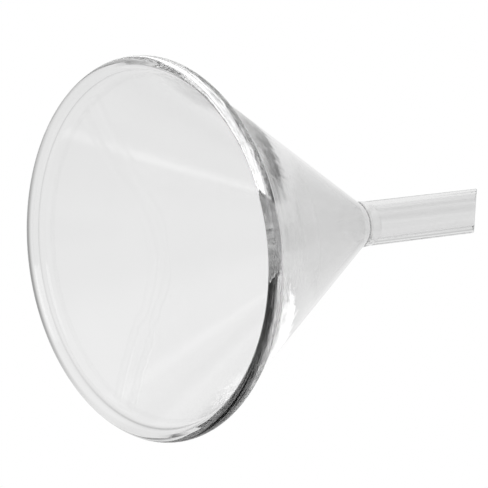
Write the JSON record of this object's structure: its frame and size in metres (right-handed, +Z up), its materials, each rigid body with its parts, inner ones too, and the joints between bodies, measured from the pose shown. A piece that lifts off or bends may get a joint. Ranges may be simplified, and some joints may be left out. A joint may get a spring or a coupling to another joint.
{
  "type": "filling funnel",
  "caption": "Conical clear glass laboratory filling funnel, 60 degree cone with a thick rim bead, open through to a short straight stem with a slanted tip.",
  "frame": {"origin": "on the funnel's axis, level with the lowest point of the stem's slanted tip", "axes": "+Z up the axis from the stem to the mouth, as in use; the stem's tip is cut short on the +X side and long on the -X side"},
  "size_m": [0.075, 0.075, 0.0973],
  "materials": {
    "clear_glass": "fire-polished clear glass"
  },
  "bodies": {
    "root": {"rim_bead": "clear_glass", "cone_wall": "clear_glass", "neck_seal": "clear_glass", "stem_tube": "clear_glass"}
  },
  "joints": []
}
